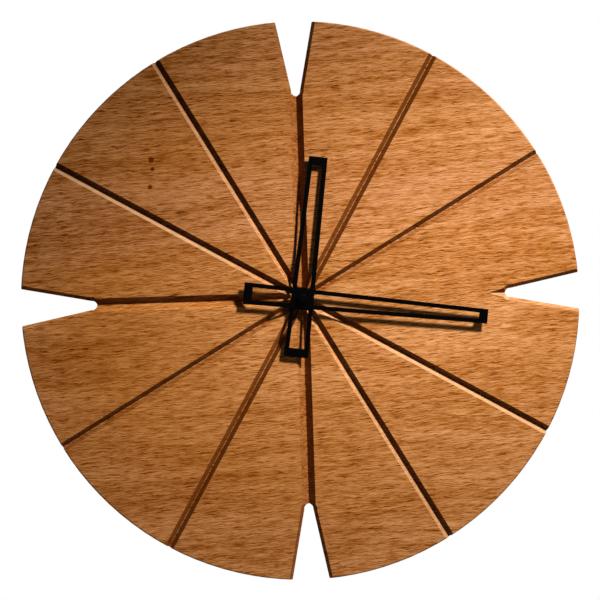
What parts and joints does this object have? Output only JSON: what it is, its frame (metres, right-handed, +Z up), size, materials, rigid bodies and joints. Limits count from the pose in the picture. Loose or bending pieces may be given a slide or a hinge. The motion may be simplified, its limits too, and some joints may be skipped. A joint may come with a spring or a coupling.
{
  "type": "wall clock",
  "caption": "Round carved wooden wall clock with open tapered black hands, wedge notches and V-grooves for the hours, a keyhole hanger and a geared battery movement in its back",
  "frame": {"origin": "Top of the keyhole slot in the hanger plate, in the plane of the wall, where the clock hangs on its screw.", "axes": "+X is to the right seen from the front, +Z is up, and the front with the hands faces -Y."},
  "size_m": [0.2992, 0.0306, 0.2992],
  "materials": {
    "oiled_beech": "oiled, satin",
    "black_hands": "black coated, satin",
    "brass": "turned",
    "steel": "zinc plated",
    "black_plastic": "moulded",
    "white_plastic": "moulded",
    "black_rubber": "moulded",
    "copper_wire": "enamelled wire",
    "ferrite": "sintered",
    "green_board": "lacquered",
    "battery_sleeve": "printed sleeve"
  },
  "bodies": {
    "clock": {"wooden_dial": "oiled_beech", "hanger_plate": "steel", "hanger_screw_upper": "steel", "hanger_screw_lower": "steel", "threaded_bush": "brass", "rubber_gasket": "black_rubber", "nut_washer": "brass", "hex_nut": "brass", "stator": "steel", "coil_core": "steel", "coil_bobbin": "white_plastic", "coil_winding": "copper_wire", "front_case": "black_plastic", "rear_cover": "black_plastic", "middle_plate": "white_plastic", "train_bridge": "white_plastic", "circuit_board": "green_board", "control_chip": "black_plastic", "quartz_crystal": "steel", "battery_cell": "battery_sleeve", "battery_contact_positive": "steel", "battery_contact_negative": "steel"},
    "minute_group": {"minute_hand": "black_hands", "minute_arbor": "brass", "hand_cap_nut": "black_hands"},
    "hour_group": {"hour_hand": "black_hands", "hour_wheel": "white_plastic"},
    "motion_gear": {"motion_wheel": "white_plastic"},
    "setting_gear": {"setting_knob": "white_plastic"},
    "centre_gear": {"centre_wheel": "brass"},
    "third_gear": {"third_wheel": "white_plastic"},
    "second_gear": {"second_wheel": "white_plastic"},
    "fifth_gear": {"fifth_wheel": "white_plastic"},
    "rotor": {"rotor_pinion": "white_plastic", "rotor_magnet": "ferrite"}
  },
  "joints": [
    {"name": "minute_hand_turn", "type": "hinge", "parent": "clock", "child": "minute_group", "pos_m": [0, 0, -0.072], "axis": [0, 1, 0], "continuous": true},
    {"name": "hour_hand_turn", "type": "hinge", "parent": "clock", "child": "hour_group", "pos_m": [0, 0, -0.072], "axis": [0, 1, 0], "continuous": true},
    {"name": "motion_wheel_turn", "type": "hinge", "parent": "clock", "child": "motion_gear", "pos_m": [0, 0, -0.06], "axis": [0, 1, 0], "continuous": true},
    {"name": "setting_knob_turn", "type": "hinge", "parent": "clock", "child": "setting_gear", "pos_m": [0.012, 0, -0.06], "axis": [0, 1, 0], "continuous": true},
    {"name": "fifth_wheel_turn", "type": "hinge", "parent": "clock", "child": "fifth_gear", "pos_m": [-0.00175, 0, -0.06207], "axis": [0, 1, 0], "continuous": true},
    {"name": "second_wheel_turn", "type": "hinge", "parent": "clock", "child": "second_gear", "pos_m": [0, 0, -0.072], "axis": [0, 1, 0], "continuous": true},
    {"name": "third_wheel_turn", "type": "hinge", "parent": "clock", "child": "third_gear", "pos_m": [-0.01008, 0, -0.072], "axis": [0, 1, 0], "continuous": true},
    {"name": "centre_wheel_turn", "type": "hinge", "parent": "clock", "child": "centre_gear", "pos_m": [0, 0, -0.072], "axis": [0, 1, 0], "continuous": true},
    {"name": "rotor_turn", "type": "hinge", "parent": "clock", "child": "rotor", "pos_m": [-0.00595, 0, -0.0548], "axis": [0, 1, 0], "continuous": true}
  ],
  "couplings": [
    {"joint": "hour_hand_turn", "follows": "minute_hand_turn", "ratio": 0.083333},
    {"joint": "motion_wheel_turn", "follows": "minute_hand_turn", "ratio": -0.33333},
    {"joint": "setting_knob_turn", "follows": "minute_hand_turn", "ratio": 1},
    {"joint": "second_wheel_turn", "follows": "fifth_wheel_turn", "ratio": -0.2},
    {"joint": "third_wheel_turn", "follows": "fifth_wheel_turn", "ratio": 0.026667},
    {"joint": "centre_wheel_turn", "follows": "fifth_wheel_turn", "ratio": -0.0033333},
    {"joint": "rotor_turn", "follows": "fifth_wheel_turn", "ratio": -6}
  ]
}
